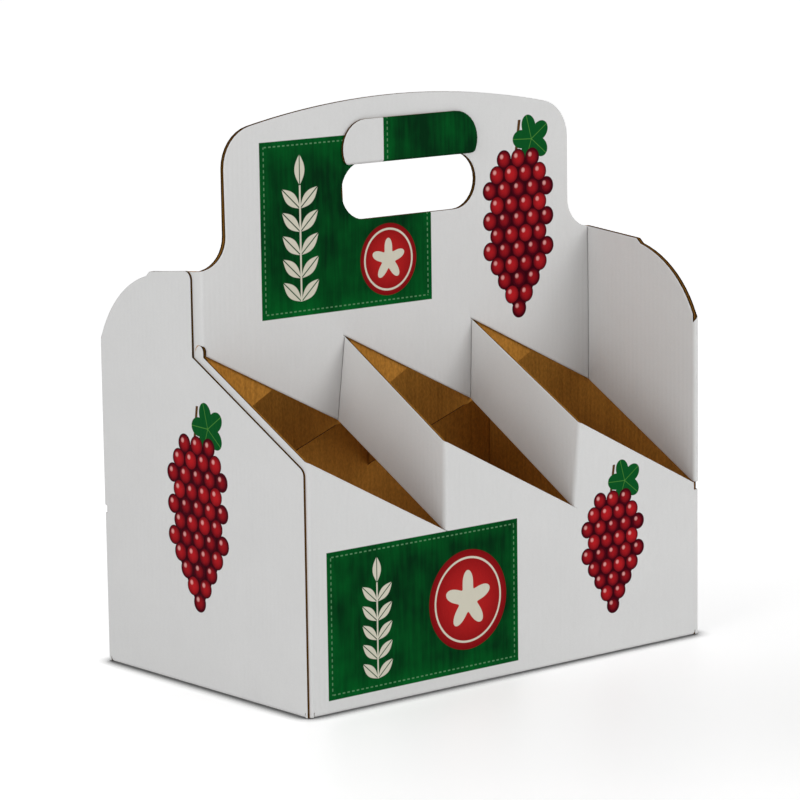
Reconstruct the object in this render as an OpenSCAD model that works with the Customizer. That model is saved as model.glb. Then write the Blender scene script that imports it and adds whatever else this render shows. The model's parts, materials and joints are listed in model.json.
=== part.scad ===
// Six-bottle carrier folded from one sheet of corrugated board, white outside and brown inside.
// The front stands at -Y. The origin is on the table, under the middle of the box.
// Slanting slits let bands of the sheet fold inward, so one sheet gives the walls, the dividers
// and both layers of the handle panel. The back half is the front half turned by 180 degrees.

/* [Box] */
// Outside width of the box, along its front wall
box_w = 270; // [220:1:330]
// Outside depth of the box, from front wall to back wall
box_d = 170; // [150:1:200]
// Bottles in each of the two rows
cells = 3; // [2:1:4]

/* [Board] */
// Thickness of the corrugated board
board = 1.6; // [1.2:0.1:2.4]
// Radius of the outer side of a fold
fold_r = 2.2; // [1.6:0.1:3]

/* [Slits] */
// Height at which the slits start, on the handle panel
slit_z = 172.5; // [165:0.5:185]
// Slope of the slits, in degrees below level
slit_angle = 27.7; // [22:0.1:30]
// Width of the round finger at the start of the first slit
finger_w = 6.4; // [4:0.2:9]
// Rise of the finger above the start of the slit
finger_h = 4.8; // [4:0.2:9]
// Reach of the finger past the bend of the corner fold
finger_reach = 0.8; // [0.4:0.1:3]
// Height of the small relief cut where the last slit ends, in the corner fold
relief_h = 2.6; // [1.6:0.2:4]

/* [End walls] */
// Height of the shoulder, where an end wall meets the handle panel
shoulder_z = 215; // [205:1:225]
// Fall of the shoulder from the handle panel to its step
shoulder_fall = 3.5; // [1:0.5:6]
// Distance of the step from the middle of the box
step_y = 40; // [30:1:48]
// Length of the step
step_l = 3; // [2:0.5:5]
// Drop of the step
step_drop = 2.6; // [1:0.2:4]
// Height at which the round corner ends, on the corner fold
corner_z = 170; // [160:1:180]
// Radius of the round corner
corner_r = 61; // [55:1:70]

/* [Lap joint] */
// Distance of the outer panel's slanting edge below the slit
lap_drop = 5; // [3:0.5:9]
// Distance of the outer panel's front edge from the front fold
lap_inset = 1.2; // [0.8:0.1:3]
// Distance of the outer panel's upper edge behind the middle of the box
lap_back = 5; // [3:0.5:8]
// Radius of the outer panel's cut corners
lap_r = 4.5; // [2:0.5:6]
// Reach of the glued flap behind the middle of the box
lap_reach = 36; // [20:1:38]

/* [Handle] */
// Width of the handle above the shoulders
handle_w = 234; // [190:1:240]
// Height of the handle's crest above the table
handle_z = 296; // [285:1:310]
// Radius of the crest
crest_r = 500; // [400:10:900]
// Radius of the handle's upper corners
handle_r = 21; // [12:1:26]

/* [Hand hole] */
// Width of the hand hole
hole_w = 92; // [80:1:110]
// Height of the hand hole
hole_h = 30.4; // [26:0.1:34]
// Distance of the hand hole's upper edge below the crest
hole_drop = 33.3; // [30:0.1:42]
// Distance of the hand hole to the right of the middle of the handle
hole_x = 5; // [-10:1:10]
// Length of the hand flap that its bend through the hole takes up
flap_wrap = 8.4; // [5:0.1:9]
// Clearance between the folded hand flap and the handle
flap_gap = 0.3; // [0.2:0.05:0.6]

/* [Base flaps] */
// Reach of the lock flap, which folds in first from the back wall
lock_reach = 104; // [92:1:112]
// Depth of the notch in the edge of the lock flap
lock_notch = 26; // [18:1:30]
// Reach of the end flaps
end_reach = 82; // [60:1:95]
// Reach of the tuck flap, which folds in last from the front wall
tuck_reach = 78; // [70:1:82]
// Width of the tongue on the tuck flap
tongue_w = 118; // [90:1:130]
// Length of the tongue
tongue_l = 34; // [28:1:40]
// Side clearance of the base flaps
flap_side = 1.5; // [1:0.5:4]
// Slant of the base flaps' sides
flap_slant = 14; // [8:1:20]

/* [Hidden] */
$fn = 96;
// Overlap that carries a cutting shape clear of the surface that it cuts
over = 0.5;

half_w = box_w / 2;
half_d = box_d / 2;
slope = tan(slit_angle);
// Width of one cell, from the printed face of a divider to that of the next
pitch = (box_w - 3 * board) / cells;
// Length of a divider, from the handle panel's fold to the front wall's fold
run = half_d - board;
// Ends of the slit edges on the handle panel, the front fold and the front wall
panel_low = slit_z - pitch * slope;
wall_high = slit_z - run * slope;
wall_low = slit_z - (pitch + run) * slope;
step_z = shoulder_z - shoulder_fall;
hole_top = handle_z - hole_drop;
// Middle of the crest's circle and of the handle's upper corners
crest_mid = handle_z - crest_r;
corner_x = handle_w / 2 - handle_r;
corner_mid = crest_mid + sqrt(pow(crest_r - handle_r, 2) - pow(corner_x, 2));
neck_r = half_w - board - handle_w / 2;

// Printed face of divider i, counted from the left end
function face_x(i) = -half_w + board + i * pitch;
function unit(v) = v / norm(v);
// Middle of the circle of radius r through a and b that lies to the right on the way from a to b
function arc_mid(a, b, r) =
    let (way = b - a, rise = sqrt(r * r - way * way / 4))
    (a + b) / 2 + rise * unit([way.y, -way.x]);

// Stands a drawing of x and z up, from y to y + thick
module upright_x(y, thick) {
    translate([0, y + thick, 0])
        rotate([90, 0, 0])
            linear_extrude(thick)
                children();
}

// Stands a drawing of y and z up, from x to x + thick
module upright_y(x, thick) {
    translate([x, 0, 0])
        rotate([90, 0, 90])
            linear_extrude(thick)
                children();
}

// What a round of radius r takes off the corner p, whose sides leave along u and v
module off_corner(p, u, v, r) {
    turn = acos(u * v);
    reach = r / tan(turn / 2);
    mid = p + unit(u + v) * r / sin(turn / 2);
    difference() {
        polygon([p - over * (u + v), p + reach * u - over * v, mid, p + reach * v - over * u]);
        translate(mid)
            circle(r);
    }
}

// What the round of an upright fold takes off, over the heights low to high
module off_fold(p, u, v, r, low, high) {
    translate([0, 0, low])
        linear_extrude(high - low)
            off_corner(p, u, v, r);
}

module stadium(w, h) {
    square([w - h, h], center = true);
    for (side = [-1, 1])
        translate([side * (w - h) / 2, 0])
            circle(h / 2);
}

// Upper outline of an end wall from the middle of the box to a corner, down to the level low
module shoulder_outline(low) {
    step_end = [step_y + step_l, step_z - step_drop];
    fold_end = [half_d, corner_z];
    polygon([[0, low], [half_d, low], fold_end, step_end, [step_y, step_z], [0, shoulder_z]]);
    intersection() {
        polygon([step_end, fold_end, [half_d, step_end.y]]);
        translate(arc_mid(step_end, fold_end, corner_r))
            circle(corner_r, $fn = 240);
    }
}

module front_wall() {
    top = [for (i = [0 : cells - 1], end = [0, 1])
        [face_x(i + end) + (i + end == cells ? 2 * board : 0), end == 0 ? wall_high : wall_low]];
    upright_x(-half_d, board)
        polygon(concat([[half_w, 0], [face_x(0), 0]], top));
}

// The round finger that stops the first slit, drawn from its foot at the start of the slit
module finger() {
    translate([finger_w / 2, finger_h - finger_w / 2])
        circle(finger_w / 2);
    translate([0, -finger_w])
        square([finger_w, finger_w / 2 + finger_h]);
}

// One layer of the handle panel, its lower edge stepped along the slits, with its hole at hole_mid
module panel_layer(hole_mid) {
    low = [for (i = [0 : cells - 1], end = [0, 1])
        [face_x(i + end), end == 0 ? slit_z : panel_low]];
    upright_x(-board, board)
        difference() {
            union() {
                polygon(concat(low, [[face_x(cells), shoulder_z], [face_x(0), shoulder_z]]));
                handle_outline();
            }
            translate([hole_mid, hole_top - hole_h / 2])
                stadium(hole_w, hole_h);
            translate([face_x(0) + fold_r + finger_reach - finger_w, slit_z])
                finger();
        }
}

module handle_outline() {
    foot = slit_z;
    translate([-handle_w / 2, foot])
        square([handle_w, corner_mid - foot]);
    for (side = [-1, 1]) {
        translate([side * corner_x, corner_mid])
            circle(handle_r);
        mirror([side < 0 ? 1 : 0, 0])
            difference() {
                translate([handle_w / 2 - over, shoulder_z - over])
                    square([neck_r + over, neck_r + over]);
                translate([handle_w / 2 + neck_r, shoulder_z + neck_r])
                    circle(neck_r);
            }
    }
    intersection() {
        translate([0, crest_mid])
            circle(crest_r, $fn = 720);
        polygon([[-corner_x, corner_mid], [corner_x, corner_mid],
            [2 * corner_x, 2 * corner_mid - crest_mid], [-2 * corner_x, 2 * corner_mid - crest_mid]]);
    }
}

// The slanting bands between the handle panel and the front wall
module dividers() {
    for (i = [1 : cells - 1])
        upright_y(face_x(i), board)
            polygon([[-half_d, wall_low], [-half_d, wall_high], [-board, slit_z], [0, slit_z],
                [0, panel_low], [-board, panel_low]]);
}

// The last band of the sheet, folded flat against the inside of the end wall
module lining() {
    upright_y(face_x(cells), board)
        difference() {
            mirror([1, 0])
                shoulder_outline(wall_low);
            polygon([[over, panel_low], [-board, panel_low], [-half_d, wall_low], [-half_d, wall_low - over],
                [over, wall_low - over]]);
        }
}

// Outer layer of the right end wall: full height in front, cut along the slit behind
module right_wall() {
    upright_y(half_w - board, board) {
        mirror([1, 0])
            shoulder_outline(0);
        square([board, shoulder_z]);
        polygon([[0, 0], [half_d, 0], [half_d, wall_high], [board, slit_z], [0, slit_z]]);
    }
}

// Outer layer of the left end wall, which ends in cut edges over the glued flap
module left_wall() {
    front_y = -half_d + lap_inset;
    front_z = wall_high - lap_drop + lap_inset * slope;
    bend_z = slit_z - lap_drop + (board + lap_back) * slope;
    down = unit([front_y - lap_back, front_z - bend_z]);
    fall = shoulder_fall / step_y;
    upright_y(-half_w, board)
        difference() {
            union() {
                shoulder_outline(0);
                polygon([[front_y, 0], [front_y, front_z], [lap_back, bend_z], [lap_back, 0]]);
            }
            polygon([[-over, shoulder_z + over], [lap_back, shoulder_z + over], [lap_back, bend_z],
                [-over, bend_z - (lap_back + over) * slope]]);
            off_corner([front_y, front_z], [0, -1], -down, lap_r);
            off_corner([lap_back, shoulder_z - lap_back * fall], [0, -1], unit([1, -fall]), lap_r);
        }
}

// The flap behind the left end wall that the box is glued by, with the finger at the first slit
module glue_flap() {
    upright_y(-half_w + board, board) {
        intersection() {
            union() {
                shoulder_outline(0);
                translate([-board, 0])
                    square([2 * board, shoulder_z]);
            }
            translate([-board, 0])
                square([lap_reach + board, shoulder_z]);
        }
        polygon([[-half_d, 0], [-half_d, wall_high], [-board, slit_z], [0, slit_z], [0, 0]]);
        translate([finger_w - board - finger_reach, slit_z])
            mirror([1, 0])
                finger();
    }
}

// A base flap drawn from its root along +y, laid flat and tilted up by rise over its reach
module base_flap(root, turn, rise, reach) {
    translate(root)
        rotate([0, 0, turn])
            rotate([atan(rise / reach), 0, 0])
                linear_extrude(board)
                    children();
}

// The four flaps of the snap-lock base
module base() {
    root_y = half_d - board;
    root_x = half_w - board;
    long_w = root_x - flap_side;
    short_w = root_y - flap_side;
    notch_w = tongue_w / 2 + flap_side;
    lift = 2 * board;
    // Lock flap
    base_flap([0, root_y, 0], 180, lift, lock_reach)
        difference() {
            polygon([[-long_w, -board], [long_w, -board], [long_w - flap_slant, lock_reach],
                [-long_w + flap_slant, lock_reach]]);
            translate([-notch_w, lock_reach - lock_notch])
                square([2 * notch_w, lock_notch + over]);
        }
    // End flaps
    for (side = [-1, 1])
        base_flap([side * root_x, 0, 0], side * 90, board, end_reach)
            polygon([[-short_w, -board], [short_w, -board], [short_w - 2 * flap_slant, end_reach],
                [-short_w + 2 * flap_slant, end_reach]]);
    // Tuck flap and its tongue
    base_flap([0, -root_y, 0], 0, 0, tuck_reach)
        polygon([[-long_w, -board], [long_w, -board], [long_w - flap_slant, tuck_reach],
            [-long_w + flap_slant, tuck_reach]]);
    base_flap([0, tuck_reach - root_y - board, 0], 0, lift + board, tongue_l)
        polygon([[-tongue_w / 2, 0], [tongue_w / 2, 0], [tongue_w / 2 - flap_slant, tongue_l],
            [-tongue_w / 2 + flap_slant, tongue_l]]);
}

// The relief cut through a corner fold, where the last slit ends
module relief() {
    reach = 2 * board + fold_r;
    translate([half_w - reach, -half_d - over, wall_low - relief_h])
        cube([reach + over, board + over, relief_h]);
}

// What the rounds and relief cuts take off the folds of the walls
module off_folds() {
    // Corner folds of the box, and the folded edges above them
    for (turn = [0, 180])
        rotate([0, 0, turn]) {
            off_fold([half_w, -half_d], [-1, 0], [0, 1], fold_r, -over, wall_low);
            off_fold([half_w, -half_d], [-1, 0], [0, 1], board, wall_low, corner_z + over);
            off_fold([half_w - 2 * board, -half_d], [1, 0], [0, 1], board, wall_low, corner_z + over);
            for (i = [1 : cells - 1])
                off_fold([face_x(i), -half_d], [1, 0], [0, 1], fold_r, wall_low, wall_high + over);
            relief();
        }
    off_fold([half_w, half_d], [-1, 0], [0, -1], fold_r, -over, wall_high + over);
    off_fold([half_w, board], [-1, 0], [0, -1], fold_r, slit_z, shoulder_z + over);
    off_fold([face_x(0), -board], [1, 0], [0, 1], fold_r, slit_z + finger_h, shoulder_z + over);
    // Folds along the base
    for (side = [-1, 1]) {
        upright_y(-half_w - over, box_w + 2 * over)
            off_corner([side * half_d, 0], [-side, 0], [0, 1], fold_r);
        upright_x(-half_d - over, box_d + 2 * over)
            off_corner([side * half_w, 0], [-side, 0], [0, 1], fold_r);
    }
}

// The front wall and the glued flap, with the corner fold that the outer panel stops short of
module glued_corner() {
    difference() {
        union() {
            front_wall();
            glue_flap();
        }
        off_fold([face_x(0), -half_d], [1, 0], [0, 1], fold_r, -over, wall_high + over);
    }
}

// The folded sheet
module carrier() {
    color("whitesmoke")
        difference() {
            union() {
                for (turn = [0, 180])
                    rotate([0, 0, turn]) {
                        dividers();
                        lining();
                    }
                glued_corner();
                rotate([0, 0, 180])
                    front_wall();
                panel_layer(hole_x);
                rotate([0, 0, 180])
                    panel_layer(-hole_x);
                right_wall();
                left_wall();
                base();
            }
            off_folds();
        }
}

// The flap cut from the hand hole, bent through it and folded up against the front of the handle
module hand_flap() {
    front_y = -2 * board - flap_gap;
    foot = hole_top + flap_gap;
    color("seagreen")
        difference() {
            upright_x(front_y, board)
                intersection() {
                    translate([hole_x, hole_top - flap_wrap + hole_h / 2])
                        stadium(hole_w, hole_h);
                    translate([hole_x - hole_w / 2, foot])
                        square([hole_w, hole_h]);
                }
            upright_y(hole_x - hole_w, 2 * hole_w)
                off_corner([front_y, foot], [1, 0], [0, 1], board - flap_gap);
        }
}

carrier();
hand_flap();
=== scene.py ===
"""Six-bottle carrier folded from one sheet of corrugated board. The sheet's printed liner, brown liner
and fluting are cut flat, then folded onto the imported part."""
import json
import math

import bpy
import numpy as np
from mathutils import Matrix, Vector
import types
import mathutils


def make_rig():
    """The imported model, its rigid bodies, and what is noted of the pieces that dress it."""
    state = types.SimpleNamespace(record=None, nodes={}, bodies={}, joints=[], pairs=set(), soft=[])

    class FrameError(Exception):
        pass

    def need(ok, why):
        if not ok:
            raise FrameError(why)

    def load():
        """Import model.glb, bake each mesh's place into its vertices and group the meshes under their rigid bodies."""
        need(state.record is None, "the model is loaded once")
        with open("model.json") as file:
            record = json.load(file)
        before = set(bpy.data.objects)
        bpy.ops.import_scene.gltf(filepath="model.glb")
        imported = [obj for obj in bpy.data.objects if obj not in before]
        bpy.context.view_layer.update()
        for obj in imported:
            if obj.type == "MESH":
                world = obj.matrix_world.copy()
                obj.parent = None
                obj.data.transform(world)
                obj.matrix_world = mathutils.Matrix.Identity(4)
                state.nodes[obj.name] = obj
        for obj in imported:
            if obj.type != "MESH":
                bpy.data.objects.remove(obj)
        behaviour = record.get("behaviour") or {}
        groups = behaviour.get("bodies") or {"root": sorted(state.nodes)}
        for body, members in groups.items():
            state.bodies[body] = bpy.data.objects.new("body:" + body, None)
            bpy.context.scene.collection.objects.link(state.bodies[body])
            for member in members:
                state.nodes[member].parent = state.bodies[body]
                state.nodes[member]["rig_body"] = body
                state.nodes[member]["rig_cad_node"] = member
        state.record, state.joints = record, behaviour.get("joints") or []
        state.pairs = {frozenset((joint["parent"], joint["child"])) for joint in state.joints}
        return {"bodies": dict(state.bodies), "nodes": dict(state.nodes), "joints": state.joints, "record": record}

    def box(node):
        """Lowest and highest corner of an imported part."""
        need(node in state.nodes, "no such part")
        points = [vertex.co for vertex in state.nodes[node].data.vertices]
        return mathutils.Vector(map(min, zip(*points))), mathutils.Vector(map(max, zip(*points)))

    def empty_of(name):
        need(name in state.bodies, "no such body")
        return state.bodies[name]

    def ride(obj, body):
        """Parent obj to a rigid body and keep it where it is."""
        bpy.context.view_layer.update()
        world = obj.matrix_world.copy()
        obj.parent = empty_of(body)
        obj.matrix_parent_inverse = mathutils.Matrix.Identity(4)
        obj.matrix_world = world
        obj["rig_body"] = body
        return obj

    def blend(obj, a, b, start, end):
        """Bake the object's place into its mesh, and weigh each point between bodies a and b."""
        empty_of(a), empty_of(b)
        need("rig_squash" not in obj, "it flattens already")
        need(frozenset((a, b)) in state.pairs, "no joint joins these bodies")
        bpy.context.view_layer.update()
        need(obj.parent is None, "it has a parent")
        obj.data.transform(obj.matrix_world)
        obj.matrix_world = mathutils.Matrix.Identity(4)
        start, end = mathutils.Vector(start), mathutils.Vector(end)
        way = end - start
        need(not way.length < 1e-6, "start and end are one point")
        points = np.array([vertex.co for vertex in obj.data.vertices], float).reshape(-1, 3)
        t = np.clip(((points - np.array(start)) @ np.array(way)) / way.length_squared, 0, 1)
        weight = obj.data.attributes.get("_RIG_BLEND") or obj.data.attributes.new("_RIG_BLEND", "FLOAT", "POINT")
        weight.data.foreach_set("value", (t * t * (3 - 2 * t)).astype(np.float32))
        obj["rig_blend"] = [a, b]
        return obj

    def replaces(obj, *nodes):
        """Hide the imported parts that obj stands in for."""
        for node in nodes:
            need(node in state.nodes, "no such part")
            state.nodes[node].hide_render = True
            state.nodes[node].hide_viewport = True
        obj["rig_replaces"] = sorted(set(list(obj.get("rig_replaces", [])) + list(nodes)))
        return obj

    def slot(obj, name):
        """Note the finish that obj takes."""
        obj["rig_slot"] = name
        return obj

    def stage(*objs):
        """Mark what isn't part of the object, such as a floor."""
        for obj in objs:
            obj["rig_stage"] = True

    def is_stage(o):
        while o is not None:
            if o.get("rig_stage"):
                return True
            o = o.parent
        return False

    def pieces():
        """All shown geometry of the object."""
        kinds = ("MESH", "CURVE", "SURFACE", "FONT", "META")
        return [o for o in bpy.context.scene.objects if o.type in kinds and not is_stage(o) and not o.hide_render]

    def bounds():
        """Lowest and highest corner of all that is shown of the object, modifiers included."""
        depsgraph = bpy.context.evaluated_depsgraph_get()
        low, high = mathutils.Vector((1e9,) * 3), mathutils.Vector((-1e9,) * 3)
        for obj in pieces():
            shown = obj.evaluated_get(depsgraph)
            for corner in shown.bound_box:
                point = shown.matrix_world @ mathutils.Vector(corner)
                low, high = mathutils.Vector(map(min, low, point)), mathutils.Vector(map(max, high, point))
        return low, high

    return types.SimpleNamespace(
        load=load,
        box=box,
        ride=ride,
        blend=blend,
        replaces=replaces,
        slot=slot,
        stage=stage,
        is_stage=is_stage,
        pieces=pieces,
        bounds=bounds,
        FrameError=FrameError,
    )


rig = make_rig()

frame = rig.load()
cad_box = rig.bounds()

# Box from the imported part, in millimetres
MM = 0.001
box_low, box_high = (np.array(corner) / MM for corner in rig.box("carrier"))
HALF_W = (box_high[0] - box_low[0]) / 2
HALF_D = (box_high[1] - box_low[1]) / 2
HANDLE_Z = box_high[2]
CELLS = 3

# Board and its paper layers, and the outer radius of a fold
BOARD = 1.6
LINER = 0.25
FLUTING = 0.2
FLUTE_PITCH = 3.2
FOLD_R = 2.2

# Slits, the round finger where the first one starts and the relief cut where the last one ends
SLIT_Z = 172.5
SLOPE = math.tan(math.radians(27.7))
CUT, CUT_POINT = 0.12, 1.0
FINGER_R, FINGER_H, FINGER_REACH = 3.2, 4.8, 0.8
RELIEF_H, RELIEF_BACK = 2.6, 0.4

# Upper edges of the end walls and of the handle, and the hand hole
SHOULDER_Z, SHOULDER_FALL = 215.0, 3.5
STEP_Y, STEP_L, STEP_DROP = 40.0, 3.0, 2.6
CORNER_Z, CORNER_R = 170.0, 61.0
HANDLE_W, HANDLE_R, CREST_R = 234.0, 21.0, 500.0
NECK_TURN = 80
HOLE_W, HOLE_H, HOLE_DROP, HOLE_X = 92.0, 30.4, 33.3, 5.0

# Glued lap at the left end, the edges of the outer panel over it, and the gap behind a lining
LAP_REACH, LAP_UPPER, LAP_GAP = 36.0, 9.0, 1.5
LAP_DROP, LAP_INSET, LAP_BACK, LAP_R = 5.0, 1.2, 5.0, 4.5
LINING_GAP = 0.3

# Base flaps, and the short cuts at their roots
LONG_FLAP, END_FLAP, FLAP_SLANT = 130.9, 81.9, 14.0
LOCK_REACH, LOCK_NOTCH, END_REACH, TUCK_REACH = 104.0, 26.0, 82.0, 78.0
TONGUE_W, TONGUE_L, TONGUE_PLAY = 118.0, 34.0, 1.5
FOOT_Z, ROOT_CUT_W, ROOT_CUT_H = 0.3, 3 * CUT, FOLD_R + 0.4

# Hand flap: length and depth of its bend, its gap to the handle, and how far the bend thins the board
FLAP_WRAP, FLAP_DEPTH, FLAP_GAP, FLAP_THIN = 8.4, 0.9, 0.3, 0.4
FLAP_PRINT_SHIFT = 5.1

# Board is pressed thinner along every cut edge, from its printed side
CRUSH, CRUSH_W, CORE_CRUSH = 0.35, 0.6, 1.8
# Depth of the crease on the inner side of a fold, and how narrow it is
GROOVE, GROOVE_POWER = 0.9, 8

# How finely the sheet is cut: facets of a bend, and lengths between cuts where the board leans
FOLD_FACETS, TURN_FACETS, BASE_FACETS, FLAP_FACETS, FLUTE_FACETS = 12, 10, 6, 8, 8
COLUMN_GAP, ROW_GAP = 12.0, 8.0
WELD = 0.002
SMOOTH_ANGLE = math.radians(20)

# Where the folds lie along the sheet, and the middle of the board in the folded box
MID = BOARD / 2
LINER_MID = MID - LINER / 2
BEND = FOLD_R - MID
ROOT = BEND - MID
CREASE = BEND * math.pi / 4
PITCH = (2 * HALF_W - 3 * BOARD) / CELLS
RUN = HALF_D - BOARD
PANEL_FOLD = [i * PITCH for i in range(CELLS + 1)]
WALL_FOLD = [i * PITCH + RUN for i in range(CELLS + 1)]
FACE = [-HALF_W + BOARD + i * PITCH for i in range(CELLS + 1)]
PANEL_LOW = SLIT_Z - PITCH * SLOPE
WALL_HIGH = SLIT_Z - RUN * SLOPE
WALL_LOW = SLIT_Z - (PITCH + RUN) * SLOPE
WALL_Y = -HALF_D + MID
OUTER_X = HALF_W - MID
GLUED_X = -OUTER_X + BOARD
LINING_X = OUTER_X - BOARD - LINING_GAP
TURN_R = (OUTER_X - LINING_X) / 2
TURN_Y = -HALF_D + TURN_R + MID
FOLD_END = WALL_Y + BEND
OUTER_START = WALL_FOLD[-1] + CREASE
TURN_END = OUTER_START + TURN_Y - FOLD_END
TURN_START = TURN_END - math.pi * TURN_R
HALF_SHEET = OUTER_START - FOLD_END - ROOT + CREASE
REAR_START = HALF_SHEET - HALF_D / 2
HOLE_TOP = HANDLE_Z - HOLE_DROP
CREST_MID = HANDLE_Z - CREST_R
CORNER_X = HANDLE_W / 2 - HANDLE_R
CORNER_MID = CREST_MID + math.sqrt((CREST_R - HANDLE_R) ** 2 - CORNER_X ** 2)
NECK_R = HALF_W - BOARD - HANDLE_W / 2
FINGER_MID = (CREASE + FINGER_REACH - FINGER_R, SLIT_Z + FINGER_H - FINGER_R)

# Where the flat stretches of the handle panel and of the front wall meet their folds, along the sheet
PANEL_U = [CREASE] + [u - CREASE for u in PANEL_FOLD[1:]]
WALL_U = [u + CREASE for u in WALL_FOLD[:-1]] + [WALL_FOLD[-1] - CREASE]


def panel_x(lap_x):
    """The same places of the handle panel, along the folded box."""
    inner = [FACE[i] + MID - BEND for i in range(1, CELLS)]
    return [lap_x + BEND, *inner, LINING_X - BEND]


def wall_x(lap_x):
    """The same places of the front wall, along the folded box."""
    inner = [FACE[i] + MID + BEND for i in range(1, CELLS)]
    return [lap_x + BEND, *inner, OUTER_X - BEND]


def slit_z(number, u):
    """Height of a slit's line above the table, in the flat sheet."""
    return SLIT_Z - (u - PANEL_FOLD[number - 1]) * SLOPE


# The flat sheet's outline
def arc(mid, r, start, end, steps=8):
    angle = np.radians(np.linspace(start, end, steps + 1))
    return np.column_stack((mid[0] + r * np.cos(angle), mid[1] + r * np.sin(angle)))


def along(points, values, knots):
    """Points whose first coordinate is a place in the box, with that place as a length of the sheet."""
    order = np.argsort(values)
    flat = np.array(points, float)
    flat[:, 0] = np.interp(flat[:, 0], np.array(values)[order], np.array(knots)[order])
    return flat


def shoulder():
    """Upper edge of an end wall, from the middle of the box to the corner fold."""
    step_end = np.array([STEP_Y + STEP_L, SHOULDER_Z - SHOULDER_FALL - STEP_DROP])
    fold_end = np.array([HALF_D, CORNER_Z])
    way = fold_end - step_end
    rise = math.sqrt(CORNER_R ** 2 - way @ way / 4)
    mid = (step_end + fold_end) / 2 + rise * np.array([way[1], -way[0]]) / np.linalg.norm(way)
    start, end = (math.degrees(math.atan2(*(p - mid)[::-1])) for p in (step_end, fold_end))
    straight = [0, SHOULDER_Z], [STEP_Y, SHOULDER_Z - SHOULDER_FALL]
    return np.vstack((*straight, arc(mid, CORNER_R, start, end, steps=12)))


def handle(lap_x):
    """Upper edge of a handle panel, from its left fold to its right one."""
    lean = math.degrees(math.atan2(CORNER_MID - CREST_MID, -CORNER_X))
    neck_x, neck_z = HANDLE_W / 2 + NECK_R, SHOULDER_Z + NECK_R
    edge = np.vstack((
        arc((-neck_x, neck_z), NECK_R, -NECK_TURN, 0),
        arc((-CORNER_X, CORNER_MID), HANDLE_R, 180, lean),
        arc((0, CREST_MID), CREST_R, lean, 180 - lean, steps=24)[1:-1],
        arc((CORNER_X, CORNER_MID), HANDLE_R, 180 - lean, 0),
        arc((neck_x, neck_z), NECK_R, 180, 180 + NECK_TURN),
    ))
    return along(edge, panel_x(lap_x), PANEL_U)


def lining():
    """Upper edge of an end lining, from the handle panel to the turn in front."""
    edge = shoulder()[1:] * [-1, 1]
    return along(edge, [-MID - BEND, TURN_Y], [PANEL_FOLD[-1] + CREASE, TURN_START])


def outer_wall(y, z):
    """Point of an outer end wall in the flat sheet, from its place behind the front fold."""
    return [OUTER_START + y - FOLD_END, z]


def lap_edges():
    """Cut edges of the outer panel over the glued lap, from its top to the front fold."""
    front = HALF_D - LAP_INSET
    front_z = WALL_HIGH - LAP_DROP + LAP_INSET * SLOPE
    bend_z = SLIT_Z - LAP_DROP + (BOARD + LAP_BACK) * SLOPE
    top_z = SHOULDER_Z - LAP_BACK * SHOULDER_FALL / STEP_Y
    lean = math.atan(SLOPE)
    mid_z = front_z + LAP_R * SLOPE - LAP_R / math.cos(lean)
    points = np.vstack((
        arc((-LAP_BACK - LAP_R, top_z - LAP_R), LAP_R, 90, 0),
        [-LAP_BACK, bend_z],
        arc((front - LAP_R, mid_z), LAP_R, 90 - math.degrees(lean), 0),
    ))
    return np.array([outer_wall(y, z) for y, z in points])


def base_flap(mid_u, half_outline):
    """Outline of a base flap from its right side to its left, with the short cuts at its root."""
    half = half_outline[0][0]
    cut = half + ROOT_CUT_W
    root = [(cut, FOOT_Z), (cut, ROOT_CUT_H), (half, ROOT_CUT_H), (half, 0)]
    side = np.array(root + [(w, ROOT - reach) for w, reach in half_outline[1:]])
    return np.vstack((side + [mid_u, 0], side[::-1] * [-1, 1] + [mid_u, 0]))


# Half-width of each base flap and how far it reaches under the box, from its root to its tip
TUCK = [(LONG_FLAP, 0), (LONG_FLAP - FLAP_SLANT, TUCK_REACH), (TONGUE_W / 2, TUCK_REACH),
        (TONGUE_W / 2 - FLAP_SLANT, TUCK_REACH + TONGUE_L)]
LOCK = [(LONG_FLAP, 0), (LONG_FLAP - FLAP_SLANT, LOCK_REACH), (TONGUE_W / 2 + TONGUE_PLAY, LOCK_REACH),
        (TONGUE_W / 2 + TONGUE_PLAY, LOCK_REACH - LOCK_NOTCH)]
END = [(END_FLAP, 0), (END_FLAP - 2 * FLAP_SLANT, END_REACH)]
# How far a flap rises over the flaps below it, at some distances from its root
TUCK_CLIMB, TUCK_RISE, TUCK_TIP_RISE = 12, 5.1, 5.3
LOCK_CLIMB, LOCK_RISE, LOCK_ROOT_RISE = 24, 3.4, 0.1
END_CLIMB, END_RISE, END_ROOT_RISE = 12, 1.7, 0.05
TUCK_LIFT = [(0, 0), (TUCK_REACH - ROOT, 0), (TUCK_REACH + TUCK_CLIMB, TUCK_RISE),
             (TUCK_REACH + TONGUE_L, TUCK_TIP_RISE)]
LOCK_LIFT = [(0, LOCK_ROOT_RISE), (LOCK_CLIMB, LOCK_RISE), (LOCK_REACH, LOCK_RISE)]
END_LIFT = [(0, END_ROOT_RISE), (END_CLIMB, END_RISE), (END_REACH, END_RISE)]
# Each flap's middle along the sheet, with its outline and its rise
END_MID = outer_wall(0, 0)[0]
FRONT_MID = float(np.interp(0, wall_x(GLUED_X), WALL_U))
BACK_MID = HALF_SHEET + float(np.interp(0, wall_x(-OUTER_X), WALL_U))
BASE_FLAPS = [(FRONT_MID, TUCK, TUCK_LIFT), (END_MID, END, END_LIFT), (BACK_MID, LOCK, LOCK_LIFT),
              (HALF_SHEET + END_MID, END, END_LIFT)]
# Height at the fold of the lap's slanting cut
LAP_LOW = PANEL_LOW - LAP_GAP


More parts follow.
